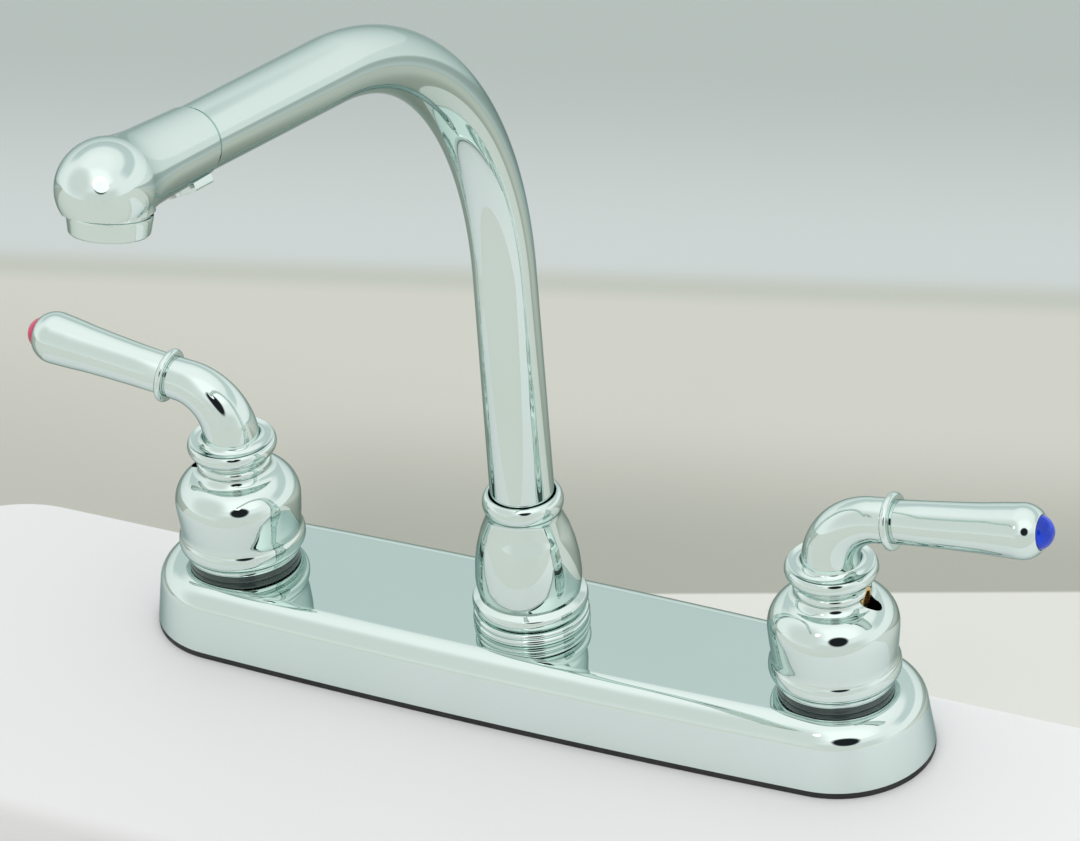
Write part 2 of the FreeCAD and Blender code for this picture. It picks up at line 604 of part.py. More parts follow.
def make_aerator_screen():
    """Perforated disc in the aerator."""
    lip = OUTLET_DROP
    screen = disc(SCREEN_R, lip + AERATOR_H - 3.2, lip + AERATOR_H - 2.2)
    holes = []
    for count, radius in ((1, 0.0), (6, 2.2), (12, 4.6)):
        for i in range(count):
            a = math.radians(360 / count * i)
            holes.append(disc(0.7, lip, lip + AERATOR_H).translated(V(radius * math.cos(a),
                                                                     radius * math.sin(a), 0)))
    return at_outlet(screen.cut(holes[0].multiFuse(holes[1:])))


def make_aerator_washer():
    top = OUTLET_DROP - AERATOR_IN
    return at_outlet(ring(THREAD_R, 7.4, top - 1.4, top))


# ---------------------------------------------------------------- every piece, in its own file
SIDE_PIECES = {
    "valve_body": make_valve_body,
    "seat_seal": make_seat_seal,
    "fixed_disc": lambda: make_ceramic_disc(FIXED_DISC_Z, 0),
    "moving_disc": lambda: make_ceramic_disc(MOVING_DISC_Z, 90),
    "cartridge": make_cartridge,
    "stem": make_stem,
    "stem_o_ring": make_stem_o_ring,
    "bonnet_nut": make_bonnet_nut,
    "plate_nut": make_plate_nut,
    "base_ring": make_base_ring,
    "mounting_washer": make_mounting_washer,
    "mounting_nut": make_mounting_nut,
    "handle_bell": make_handle_bell,
    "set_screw": make_set_screw,
    "lever_elbow": make_lever_elbow,
    "bead_ring": make_bead_ring,
    "grip": make_grip,
    "grip_screw": make_grip_screw,
    "index_button": make_index_button,
}

CENTRE_PIECES = {
    "deck_plate": make_deck_plate,
    "deck_gasket": make_deck_gasket,
    "spout_hub": make_hub,
    "spout_base_ring": make_spout_base_ring,
    "spout_bell": make_spout_bell,
    "spout_tail": make_spout_tail,
    "tail_o_rings": make_tail_o_rings,
    "glide_ring": make_glide_ring,
    "wear_ring": make_wear_ring,
    "spout_tube": make_spout_tube,
    "spout_head": make_spout_head,
    "head_seal": make_head_seal,
    "head_tab": make_head_tab,
    "head_screw": make_head_screw,
    "aerator_housing": make_aerator_housing,
    "aerator_insert": make_aerator_insert,
    "aerator_screen": make_aerator_screen,
    "aerator_washer": make_aerator_washer,
}


def main():
    os.makedirs("parts", exist_ok=True)
    half_turn = (ORIGIN, UP, 180)
    for name, make in SIDE_PIECES.items():
        piece = make().translated(V(HANDLE_CENTRES / 2, 0, 0))
        save("cold_" + name, piece)
        save("hot_" + name, piece.rotated(*half_turn))
    tube = make_cross_tube()
    save("cold_cross_tube", tube)
    save("hot_cross_tube", tube.rotated(*half_turn))
    for name, make in CENTRE_PIECES.items():
        save(name, make())


main()
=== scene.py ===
# %% [markdown]
# # A two handle kitchen faucet
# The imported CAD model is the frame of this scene: every piece made here sits where the frame
# says and moves with one of its bodies. The real faucet is brass under bright chrome plate, so
# most of its look is the shape of the metal and the room that the metal mirrors. A mirror shows
# every flat facet, which is why the plated pieces are modelled again here, far finer than CAD.

import json
import math

import bmesh
import bpy
from mathutils import Matrix, Vector


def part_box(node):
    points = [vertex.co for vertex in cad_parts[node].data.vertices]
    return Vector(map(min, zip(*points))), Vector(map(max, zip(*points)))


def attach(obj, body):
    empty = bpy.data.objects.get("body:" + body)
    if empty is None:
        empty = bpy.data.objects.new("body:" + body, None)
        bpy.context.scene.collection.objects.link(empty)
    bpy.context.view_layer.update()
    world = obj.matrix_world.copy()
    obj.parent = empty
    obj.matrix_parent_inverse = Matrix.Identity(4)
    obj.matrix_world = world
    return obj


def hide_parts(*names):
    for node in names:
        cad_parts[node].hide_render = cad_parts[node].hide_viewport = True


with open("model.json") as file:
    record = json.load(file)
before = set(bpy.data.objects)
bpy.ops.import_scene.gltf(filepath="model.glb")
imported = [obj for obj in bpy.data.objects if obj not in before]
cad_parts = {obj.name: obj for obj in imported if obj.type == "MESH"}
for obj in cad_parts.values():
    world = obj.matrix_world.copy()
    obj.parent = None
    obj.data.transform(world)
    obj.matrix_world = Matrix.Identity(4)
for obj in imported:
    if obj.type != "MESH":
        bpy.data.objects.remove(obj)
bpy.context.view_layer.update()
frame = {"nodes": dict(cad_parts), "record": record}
nodes = frame["nodes"]

# %% [markdown]
# ## Measures
# The frame is in metres. Profiles of turned pieces are easier to read in millimetres, so they
# are written that way and scaled once. Heights and centres that the CAD already holds are read
# from its boxes, so that they can't drift apart.

# %% Sizes taken from the frame
MM = 0.001
UP = Vector((0, 0, 1))
HALF_TURN = Matrix.Rotation(math.pi, 4, "Z")

plate_low, plate_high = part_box("deck_plate")
ring_low, ring_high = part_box("cold_base_ring")
valve_x = (ring_low.x + ring_high.x) / 2
plate_top = plate_high.z / MM
gasket_top = plate_low.z / MM
print("valves at +-%.1f mm, plate top at %.1f mm" % (valve_x / MM, plate_top))

# %% [markdown]
# ## The camera
# It stands where the photograph was taken from: in front, to the right and above, with a long
# lens. Its place is worked out from the direction it looks in and its distance, which is how a
# photographer would describe it.

# %% Camera
VIEW_AZIMUTH = math.radians(28.13)
VIEW_ELEVATION = math.radians(31.62)
VIEW_ROLL = math.radians(-4.41)
VIEW_DISTANCE = 1.4024
VIEW_TARGET = Vector((0.0080, 0.0, 0.0948))
LENS = 155.79
SENSOR = 36.0


def camera_matrix():
    """World matrix of a camera that looks at the target from the view's direction."""
    level = math.cos(VIEW_ELEVATION)
    back = Vector((math.sin(VIEW_AZIMUTH) * level, -math.cos(VIEW_AZIMUTH) * level,
                   math.sin(VIEW_ELEVATION)))
    right = (-back).cross(UP).normalized()
    up = right.cross(-back)
    turn = Matrix((right, up, back)).transposed().to_4x4()
    place = Matrix.Translation(VIEW_TARGET + back * VIEW_DISTANCE)
    return place @ turn @ Matrix.Rotation(VIEW_ROLL, 4, "Z")


camera_data = bpy.data.cameras.new("view_camera")
camera_data.lens = LENS
camera_data.sensor_width = SENSOR
camera = bpy.data.objects.new("view_camera", camera_data)
camera.matrix_world = camera_matrix()
bpy.context.scene.collection.objects.link(camera)
bpy.context.scene.camera = camera
bpy.context.scene.view_settings.view_transform = "Standard"
print("camera at", [round(c, 3) for c in camera.matrix_world.translation])

# %% [markdown]
# ## Materials
# Each finish is a small function that builds a node material. Plated metal is mostly mirror, so
# its detail is in the gloss: faint smudges that a cloth leaves and a plating that isn't quite
# flat. The patterns read Object coordinates, which are the same for every piece, because each
# piece keeps its place in its mesh.

# %% A helper that starts a material
def new_finish(name, colour, metallic, roughness):
    """Material with one Principled shader; returns the material, its node tree and its shader."""
    finish = bpy.data.materials.new(name)
    finish.use_nodes = True
    tree = finish.node_tree
    shader = tree.nodes["Principled BSDF"]
    shader.inputs["Base Color"].default_value = (*colour, 1)
    shader.inputs["Metallic"].default_value = metallic
    shader.inputs["Roughness"].default_value = roughness
    finish.diffuse_color = (*colour, 1)
    return finish, tree, shader


def noise(tree, scale, detail=3.0, stretch=(1, 1, 1)):
    """Noise texture on Object coordinates, drawn out along the axes by stretch."""
    place = tree.nodes.new("ShaderNodeTexCoord")
    mapping = tree.nodes.new("ShaderNodeMapping")
    mapping.inputs["Scale"].default_value = stretch
    texture = tree.nodes.new("ShaderNodeTexNoise")
    texture.inputs["Scale"].default_value = scale
    texture.inputs["Detail"].default_value = detail
    tree.links.new(place.outputs["Object"], mapping.inputs["Vector"])
    tree.links.new(mapping.outputs["Vector"], texture.inputs["Vector"])
    return texture.outputs["Fac"]


def spread(tree, source, low, high):
    """Map a 0 to 1 pattern on the range from low to high."""
    node = tree.nodes.new("ShaderNodeMapRange")
    node.inputs["From Min"].default_value = 0.3
    node.inputs["From Max"].default_value = 0.7
    node.inputs["To Min"].default_value = low
    node.inputs["To Max"].default_value = high
    tree.links.new(source, node.inputs["Value"])
    return node.outputs["Result"]


def tint(tree, shader, source, dark, light):
    """Let the base colour run from dark to light with a pattern."""
    mix = tree.nodes.new("ShaderNodeMix")
    mix.data_type = "RGBA"
    mix.inputs["A"].default_value = (*dark, 1)
    mix.inputs["B"].default_value = (*light, 1)
    tree.links.new(spread(tree, source, 0, 1), mix.inputs["Factor"])
    tree.links.new(mix.outputs["Result"], shader.inputs["Base Color"])


def relief(tree, shader, source, height, strength=1.0):
    """Bump of a given height in metres."""
    bump = tree.nodes.new("ShaderNodeBump")
    bump.inputs["Strength"].default_value = strength
    bump.inputs["Distance"].default_value = height
    tree.links.new(source, bump.inputs["Height"])
    tree.links.new(bump.outputs["Normal"], shader.inputs["Normal"])


print("material helpers ready")

# %% [markdown]
# Chrome plate over polished brass is a cool, faintly green mirror. Its roughness wanders between
# almost none and a light haze, in patches as large as a fingertip. A real plate mirrors a little
# less just inside its outline, which the specular tint of a metal stands for: it draws the thin
# dark rim that sets a chrome tube off from a pale room.

# %% Metals
RIM_TINT = (0.38, 0.46, 0.45)


def chrome():
    finish, tree, shader = new_finish("polished_chrome", (0.72, 0.82, 0.79), 1.0, 0.03)
    tint(tree, shader, noise(tree, 14.0), (0.705, 0.81, 0.775), (0.735, 0.83, 0.805))
    tree.links.new(spread(tree, noise(tree, 60.0, 5.0), 0.012, 0.04), shader.inputs["Roughness"])
    relief(tree, shader, noise(tree, 30.0, 1.0), 0.00002, 0.1)
    shader.inputs["Specular Tint"].default_value = (*RIM_TINT, 1)
    return finish


def brass():
    finish, tree, shader = new_finish("machined_brass", (0.78, 0.58, 0.27), 1.0, 0.25)
    tint(tree, shader, noise(tree, 90.0), (0.66, 0.46, 0.19), (0.83, 0.64, 0.33))
    tree.links.new(spread(tree, noise(tree, 400.0, 2.0, (1, 1, 9)), 0.16, 0.36),
                   shader.inputs["Roughness"])
    relief(tree, shader, noise(tree, 350.0, 2.0, (1, 1, 9)), 0.00002)
    return finish


def copper():
    finish, tree, shader = new_finish("drawn_copper", (0.80, 0.46, 0.31), 1.0, 0.3)
    tint(tree, shader, noise(tree, 50.0, 4.0), (0.55, 0.28, 0.17), (0.86, 0.52, 0.36))
    tree.links.new(spread(tree, noise(tree, 300.0, 2.0, (0.1, 1, 1)), 0.22, 0.42),
                   shader.inputs["Roughness"])
    return finish


def steel():
    finish, tree, shader = new_finish("plain_stainless", (0.62, 0.63, 0.63), 1.0, 0.28)
    tint(tree, shader, noise(tree, 120.0), (0.55, 0.56, 0.56), (0.68, 0.69, 0.69))
    tree.links.new(spread(tree, noise(tree, 500.0, 2.0), 0.2, 0.38), shader.inputs["Roughness"])
    return finish


print("metals: chrome, brass, copper, steel")

# %% [markdown]
# The other finishes share one recipe, because rubber, plastic and ceramic differ here only in
# colour, gloss and grain. The buttons of the levers are clear resin over a coloured foil, so they
# get a thin clear coat of their own.

# %% Rubber, plastics and ceramic
def moulded(name, dark, light, rough_low, rough_high, grain):
    """Moulded part: a slight drift in colour and a fine even grain."""
    finish, tree, shader = new_finish(name, light, 0.0, rough_high)
    tint(tree, shader, noise(tree, 70.0, 4.0), dark, light)
    tree.links.new(spread(tree, noise(tree, 220.0, 3.0), rough_low, rough_high),
                   shader.inputs["Roughness"])
    relief(tree, shader, noise(tree, 1400.0, 2.0), grain)
    return finish


def jewel(name, deep, bright):
    """Coloured index button: clear glossy resin over a coloured foil."""
    finish, tree, shader = new_finish(name, bright, 0.0, 0.16)
    tint(tree, shader, noise(tree, 190.0, 2.0), deep, bright)
    shader.inputs["Specular IOR Level"].default_value = 0.3
    shader.inputs["Coat Weight"].default_value = 0.3
    shader.inputs["Coat Roughness"].default_value = 0.03
    return finish


finishes = {
    "chrome": chrome(),
    "brass": brass(),
    "copper": copper(),
    "steel": steel(),
    "black_rubber": moulded("black_rubber", (0.008, 0.008, 0.009), (0.02, 0.02, 0.022),
                            0.45, 0.7, 0.00003),
    "dark_ring": moulded("dark_plastic", (0.05, 0.065, 0.064), (0.09, 0.115, 0.11),
                         0.1, 0.22, 0.00001),
    "nylon": moulded("natural_nylon", (0.70, 0.67, 0.58), (0.80, 0.78, 0.71), 0.4, 0.55, 0.00002),
    "ceramic": moulded("lapped_ceramic", (0.88, 0.87, 0.82), (0.94, 0.93, 0.90),
                       0.08, 0.16, 0.000004),
    "white_plastic": moulded("white_plastic", (0.80, 0.80, 0.77), (0.88, 0.88, 0.86),
                             0.3, 0.45, 0.00001),
    "cold_button": jewel("blue_button", (0.001, 0.03, 0.42), (0.003, 0.06, 0.80)),
    "hot_button": jewel("red_button", (0.50, 0.02, 0.09), (0.78, 0.06, 0.16)),
}
for part in frame["record"]["subparts"]:
    node = nodes[part["node"]]
    node.data.materials.clear()
    node.data.materials.append(finishes[part["material_slot"]])
print("finishes:", len(finishes))

# %% [markdown]
# ## Turned pieces
# Bells, beads, rings, grips and nuts come off a lathe, so each is a profile spun about its axis.
# The profile is a short list of points; a pair of points stands for an arc, through the first
# and on to the second. Corners get a small rounded edge, because plated metal has no sharp one.

# %% Profile and lathe
LATHE_STEPS = 128
ARC_STEP = math.radians(6)
EDGE_SOFT = 0.25 * MM
FINE_SOFT = 0.15 * MM
MOULDED_SOFT = 0.3 * MM
SLIP_FIT = 0.05


def circle_through(a, b, c):
    """Centre of the circle through three points of a plane."""
    ax, ay = a
    bx, by = b
    cx, cy = c
    d = 2 * (ax * (by - cy) + bx * (cy - ay) + cx * (ay - by))
    a2, b2, c2 = ax * ax + ay * ay, bx * bx + by * by, cx * cx + cy * cy
    return Vector(((a2 * (by - cy) + b2 * (cy - ay) + c2 * (ay - by)) / d,
                   (a2 * (cx - bx) + b2 * (ax - cx) + c2 * (bx - ax)) / d))


def arc(a, via, b):
    """Points after a along the arc that passes through via and ends at b."""
    centre = circle_through(a, via, b)
    radius = (Vector(a) - centre).length

    def heading(point):
        return math.atan2(point[1] - centre.y, point[0] - centre.x)
    start = heading(a)
    full = 2 * math.pi
    to_via = (heading(via) - start) % full
    to_end = (heading(b) - start) % full
    sweep = to_end if to_via < to_end else to_end - full
    count = max(3, math.ceil(abs(sweep) / ARC_STEP))
    return [(centre.x + radius * math.cos(start + sweep * i / count),
             centre.y + radius * math.sin(start + sweep * i / count)) for i in range(1, count + 1)]


def unroll(points):
    """Write a profile's arcs out as points."""
    line = [points[0]]
    for item in points[1:]:
        if isinstance(item[0], tuple):
            line += arc(line[-1], *item)
        else:
            line.append(item)
    return line


def spun(points, closed=False, steps=LATHE_STEPS):
    """Spin a profile of (radius, height) in millimetres about Z and close its poles."""
    bm = bmesh.new()
    line = [bm.verts.new((r * MM, 0, z * MM)) for r, z in unroll(points)]
    chain = [bm.edges.new(pair) for pair in zip(line, line[1:])]
    if closed:
        chain.append(bm.edges.new((line[-1], line[0])))
    bmesh.ops.spin(bm, geom=line + chain, axis=UP, cent=(0, 0, 0), angle=2 * math.pi,
                   steps=steps, use_merge=True)
    bmesh.ops.remove_doubles(bm, verts=bm.verts, dist=0.002 * MM)
    bmesh.ops.recalc_face_normals(bm, faces=bm.faces)
    return bm


def soften(bm, width=EDGE_SOFT, sharp=math.radians(28), segments=3):
    """Round the edges where two faces meet at a clear angle."""
    corners = [e for e in bm.edges if e.is_manifold and e.calc_face_angle(0) > sharp]
    bmesh.ops.bevel(bm, geom=corners, offset=width, segments=segments, profile=0.5,
                    affect="EDGES", material=-1, clamp_overlap=True)
    return bm


print("lathe with", LATHE_STEPS, "steps to the turn")

# %% [markdown]
# A finished piece is handed to the scene in one step: its mesh gets its place, its finish and
# the body it rides on, and the CAD node that it stands for is hidden.

# %% Hand a piece to the scene
SMOOTH_LIMIT = math.radians(32)


def facing(origin, direction):
    """Matrix that stands a piece built about Z on origin, pointing along direction."""
    turn = UP.rotation_difference(direction).to_matrix().to_4x4()
    return Matrix.Translation(origin) @ turn


def finish_piece(bm, name, body, slot, replaces=(), place=Matrix()):
    """Turn a bmesh into an object of the scene that rides on its body, and hide the nodes it
    replaces.
    """
    bmesh.ops.transform(bm, matrix=place, verts=bm.verts)
    mesh = bpy.data.meshes.new(name)
    bm.to_mesh(mesh)
    bm.free()
    mesh.shade_smooth()
    mesh.set_sharp_from_angle(angle=SMOOTH_LIMIT)
    mesh.materials.append(finishes[slot])
    piece = bpy.data.objects.new(name, mesh)
    bpy.context.scene.collection.objects.link(piece)
    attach(piece, body)
    if replaces:
        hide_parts(*replaces)
    return piece


def cut(piece, tools, operation="DIFFERENCE"):
    """Boolean a piece with other bmeshes, and keep the result as its plain mesh."""
    for tool in tools:
        mesh = bpy.data.meshes.new("cutter")
        tool.to_mesh(mesh)
        tool.free()
        cutter = bpy.data.objects.new("cutter", mesh)
        bpy.context.scene.collection.objects.link(cutter)
        change = piece.modifiers.new("cut", "BOOLEAN")
        change.object = cutter
        change.operation = operation
        change.solver = "EXACT"
        graph = bpy.context.evaluated_depsgraph_get()
        result = bpy.data.meshes.new_from_object(piece.evaluated_get(graph))
        piece.modifiers.clear()
        old = piece.data
        piece.data = result
        bpy.data.meshes.remove(old)
        bpy.data.objects.remove(cutter)
    piece.data.shade_smooth()
    piece.data.set_sharp_from_angle(angle=SMOOTH_LIMIT)


def both_sides(make):
    """Make a piece for the cold valve, and turned half way round for the hot one."""
    for side, turn in (("cold", Matrix()), ("hot", HALF_TURN)):
        make(side, turn @ Matrix.Translation((valve_x, 0, 0)))


print("hand-over helpers ready")

# %% [markdown]
# ## The deck plate
# A long cast bar with round ends, slightly bowed sides and walls that lean in towards the top,
# as a casting needs to leave its mould. The outline is four arcs, each tangent to the next, and
# it is worked out as points, so that an inset of it keeps its bow.

# %% Outline of the plate
PLATE_HALF = plate_high.y / MM
END_R = 29.0
END_X = plate_high.x / MM - END_R
PLATE_DRAFT = 3.0
PLATE_RIM = 8.0
PLATE_WALL = 2.0
END_STEPS = 40
SIDE_STEPS = 48


def bar_outline(z, inset=0.0):
    """Points of the plate's outline in millimetres, counter clockwise from the front left."""
    end_r = END_R - inset
    half = PLATE_HALF - inset
    side_r = (END_X ** 2 + half ** 2 - end_r ** 2) / (2 * (half - end_r))
    slope = math.atan2(side_r - half, END_X)
    bow = math.pi / 2 - slope
    points = []
    for centre, radius, start, sweep, steps in (
            ((0, side_r - half), side_r, -math.pi / 2 - bow, 2 * bow, SIDE_STEPS),
            ((END_X, 0), end_r, -slope, 2 * slope, END_STEPS),
            ((0, half - side_r), side_r, math.pi / 2 - bow, 2 * bow, SIDE_STEPS),
            ((-END_X, 0), end_r, math.pi - slope, 2 * slope, END_STEPS)):
        for i in range(steps):
            a = start + sweep * i / steps
            points.append(Vector((centre[0] + radius * math.cos(a),
                                  centre[1] + radius * math.sin(a), z)) * MM)
    return points


print("plate %.1f by %.1f mm" % (2 * (END_X + END_R), 2 * PLATE_HALF))

# %% [markdown]
# The outline is filled, raised and drawn in by the draft, and the rim is a wide bevel. Thin rings
# of faces beside the bevel keep the flat top flat in its reflections. The rim's bevel is measured
# along the faces, while its radius is given across the corner between them, so the one is worked
# out from the other.

# %% Bar with leaning walls
def bar(low, high, inset, draft, rim, flat=0.5, steps=14):
    """Bar on the outline, with leaning walls and a rounded rim; flat edges its level faces."""
    bm = bmesh.new()
    foot = bm.faces.new([bm.verts.new(p) for p in bar_outline(low, inset)])
    raised = bmesh.ops.extrude_face_region(bm, geom=[foot], use_keep_orig=True)["geom"]
    top = next(g for g in raised if isinstance(g, bmesh.types.BMFace))
    for vert, point in zip(top.verts, bar_outline(high, inset + draft)):
        vert.co = point
    bmesh.ops.recalc_face_normals(bm, faces=bm.faces)
    rim_edges = list(top.edges)
    bmesh.ops.bevel(bm, geom=rim_edges, offset=rim * MM, segments=steps, profile=0.5,
                    affect="EDGES", material=-1)
    level = [f for f in bm.faces if abs(f.normal.z) > 0.999]
    bmesh.ops.inset_region(bm, faces=level, thickness=flat * MM)
    return bm


wall_lean = math.atan2(PLATE_DRAFT, plate_top - gasket_top)
RIM_REACH = math.tan((math.pi / 2 - wall_lean) / 2)
print("rim reaches %.2f of its radius" % RIM_REACH)

# %% [markdown]
# The real plate is a thin shell, so a second bar is cut out from below. Three holes let the two
# valves and the spout's hub through.

# %% Deck plate
VALVE_HOLE_R = 12.9
HUB_HOLE_R = 13.2
# how far a cutter reaches past the metal that it cuts
CLEAR = 9


def tube_hole(radius, low, high, x=0.0):
    """Plain cylinder for cutting a hole, in millimetres."""
    bm = spun([(0, low), (radius, low), (radius, high), (0, high)])
    bmesh.ops.translate(bm, verts=bm.verts, vec=(x, 0, 0))
    return bm


deck_plate = finish_piece(bar(gasket_top, plate_top, 0.0, PLATE_DRAFT, PLATE_RIM * RIM_REACH),
                          "plated_deck_plate", "base", "chrome", ["deck_plate"])
inner_top = plate_top - PLATE_WALL
inner_rim = (PLATE_RIM - PLATE_WALL) * RIM_REACH
hollow = bar(gasket_top - 1, inner_top, PLATE_WALL, PLATE_DRAFT, inner_rim, steps=6)
holes = ((VALVE_HOLE_R, valve_x / MM), (VALVE_HOLE_R, -valve_x / MM), (HUB_HOLE_R, 0.0))
cut(deck_plate, [hollow] + [tube_hole(radius, inner_top - CLEAR, plate_top + CLEAR, x)
                            for radius, x in holes])
print("deck plate faces:", len(deck_plate.data.polygons))

# %% [markdown]
# The gasket under the plate is moulded rubber, with a soft edge that shows as a dark line.

# %% Gasket
GASKET_RIM = 0.4
SHANK_HOLE_R = 10.85
sheet = soften(bar(0.0, gasket_top, 0.0, 0.0, GASKET_RIM, steps=3), MOULDED_SOFT)
gasket = finish_piece(sheet, "rubber_deck_gasket", "base", "black_rubber", ["deck_gasket"])
cut(gasket, [tube_hole(SHANK_HOLE_R, -CLEAR, CLEAR, x / MM) for x in (valve_x, -valve_x)])
print("gasket faces:", len(gasket.data.polygons))

# %% [markdown]
# ## The valves
# A dark ring lies on the plate under each handle. The bell stands just above it: a bead at its
# foot, a waist, a wide belly, a round shoulder and a neck with a small bead and a groove.

# %% Base ring and bell
BELL_LIP = 25.0
BELL_FOOT = 27.0
NECK_TOP = 61.4
NECK_R = 10.8
BOSS_R = 6.5
BOSS_TOP = 65.4
STEM_R = 4.0
SET_SCREW_R = 3.4
SET_SCREW_Z = 55.4
SET_SCREW_LENGTH = 7.2
DRILL_LENGTH = 21
SCREW_STEPS = 48
GROOVE_R = 10.2
BASE_RING = [(16.2, plate_top), (17.8, plate_top), (17.8, 24.5), (16.2, 24.5)]
BELL = [(16.8, BELL_LIP), (18.3, BELL_LIP), (18.3, 26.2), (17.8, 26.4), (17.8, BELL_FOOT),
        (18.9, BELL_FOOT), ((19.85, 28.2), (20.1, 29.8)), ((19.85, 31.5), (19.2, 32.8)),
        ((19.1, 34.4), (19.3, 36.2)), ((19.65, 39.8), (19.9, 43.5)),
        ((18.4, 49.1), (13.9, 53.0)), ((11.9, 53.9), (NECK_R, 55.8)),
        ((NECK_R + 1.0, 57.4), (NECK_R, 58.9)), (GROOVE_R, 59.2), (GROOVE_R, 60.0),
        (NECK_R, 60.3), (NECK_R, NECK_TOP), (BOSS_R, NECK_TOP), (BOSS_R, BOSS_TOP),
        (STEM_R, BOSS_TOP), (STEM_R, 46.6), (15.0, 46.6), (17.6, 41.5), (17.6, BELL_FOOT + 0.6),
        (16.8, BELL_FOOT + 0.6)]


def base_ring(side, place):
    finish_piece(soften(spun(BASE_RING, closed=True), MOULDED_SOFT), side + "_dark_base_ring",
                 "base", "dark_ring", [side + "_base_ring"], place)


def across(z, start):
    """Place something built about Z so that it runs out along X at a height, in millimetres."""
    return facing(Vector((start * MM, 0, z * MM)), Vector((1, 0, 0)))


def bell(side, place):
    piece = finish_piece(soften(spun(BELL, closed=True)), side + "_plated_bell",
                         side + "_handle", "chrome", [side + "_handle_bell"])
    drill = spun([(0, 0), (SET_SCREW_R, 0), (SET_SCREW_R, DRILL_LENGTH), (0, DRILL_LENGTH)],
                 steps=SCREW_STEPS)
    bmesh.ops.transform(drill, matrix=across(SET_SCREW_Z, STEM_R), verts=drill.verts)
    cut(piece, [drill])
    piece.data.transform(place)


both_sides(base_ring)
both_sides(bell)
print("bells ride on the handles")

# %% [markdown]
# The set screw is bare brass, so it glows in its hole under the lever. It has a hexagonal
# socket, cut by a six sided plug.

# %% Set screw
screw_r = SET_SCREW_R - SLIP_FIT
SCREW = [(0, 0), (1.8, 0), (screw_r, 1.6), (screw_r, SET_SCREW_LENGTH), (0, SET_SCREW_LENGTH)]
SOCKET_DEPTH = 3.6
SOCKET_FLATS = 4.0
SOCKET_R = SOCKET_FLATS / math.sqrt(3)


def set_screw(side, place):
    turned = soften(spun(SCREW, steps=SCREW_STEPS), FINE_SOFT)
    piece = finish_piece(turned, side + "_brass_set_screw", side + "_handle", "brass",
                         [side + "_set_screw"])
    floor = SET_SCREW_LENGTH - SOCKET_DEPTH
    mouth = floor + CLEAR
    plug = spun([(0, floor), (SOCKET_R, floor), (SOCKET_R, mouth), (0, mouth)], steps=6)
    cut(piece, [plug])
    piece.data.transform(place @ across(SET_SCREW_Z, STEM_R))


both_sides(set_screw)
print("set screws:", SET_SCREW_R, "mm radius")

# %% [markdown]
# ## The levers
# Collar and elbow are one casting. The collar is turned; the elbow is its last ring of edges,
# carried round the bend in small steps while it narrows. Each step extrudes the ring, turns it
# about the centre of the bend and scales it about its own centre.

# %% Collar and elbow
ELBOW_BASE_R = 9.0
ELBOW_END_R = 6.8
ELBOW_START = 66.5
ELBOW_BEND_R = 17.0
LEVER_RISE = math.radians(8.0)
ELBOW_TURN = math.pi / 2 - LEVER_RISE
ELBOW_STEPS = 36
BEAD_AT = 4.45
BEAD_T = 2.4
COLLAR = [(0, NECK_TOP), (13.1, NECK_TOP), ((14.1, 63.6), (13.2, 65.8)),
          ((10.9, 65.2), (ELBOW_BASE_R, ELBOW_START))]
lever_out = Vector((math.cos(LEVER_RISE), 0, math.sin(LEVER_RISE)))
elbow_end = Vector((ELBOW_BEND_R * (1 - math.cos(ELBOW_TURN)), 0,
                    ELBOW_START + ELBOW_BEND_R * math.sin(ELBOW_TURN))) * MM


def carry(bm, edges, move):
    """Extrude a ring of edges and move the new ring; returns its edges."""
    made = bmesh.ops.extrude_edge_only(bm, edges=edges)["geom"]
    verts = [g for g in made if isinstance(g, bmesh.types.BMVert)]
    bmesh.ops.transform(bm, matrix=move, verts=verts)
    return [g for g in made if isinstance(g, bmesh.types.BMEdge) and
            all(v in verts for v in g.verts)]


def open_ring(bm):
    """The edges that border only one face."""
    return [e for e in bm.edges if e.is_boundary]


def on_axis(turned_to, radius_ratio, about, centre, axis):
    """Turn about a bend's axis, then scale about the ring's new centre."""
    turn = (Matrix.Translation(about) @ Matrix.Rotation(turned_to, 4, axis)
            @ Matrix.Translation(-about))
    new_centre = turn @ centre
    scale = (Matrix.Translation(new_centre) @ Matrix.Diagonal((radius_ratio,) * 3 + (1,))
             @ Matrix.Translation(-new_centre))
    return scale @ turn, new_centre


def elbow(side, place):
    bm = spun(COLLAR)
    bmesh.ops.recalc_face_normals(bm, faces=bm.faces)
    edges = open_ring(bm)
    centre = Vector((0, 0, ELBOW_START * MM))
    about = Vector((ELBOW_BEND_R * MM, 0, ELBOW_START * MM))
    radius = ELBOW_BASE_R
    for i in range(1, ELBOW_STEPS + 1):
        new_radius = ELBOW_BASE_R + (ELBOW_END_R - ELBOW_BASE_R) * i / ELBOW_STEPS
        move, centre = on_axis(ELBOW_TURN / ELBOW_STEPS, new_radius / radius, about, centre, "Y")
        edges = carry(bm, edges, move)
        radius = new_radius
    edges = carry(bm, edges, Matrix.Translation(lever_out * BEAD_AT * MM))
    bmesh.ops.edgeloop_fill(bm, edges=edges)
    bmesh.ops.recalc_face_normals(bm, faces=bm.faces)
    finish_piece(soften(bm), side + "_plated_elbow", side + "_handle", "chrome",
                 [side + "_lever_elbow"], place)


both_sides(elbow)
print("elbows end %.1f mm from the valve's axis" % (elbow_end.x / MM))
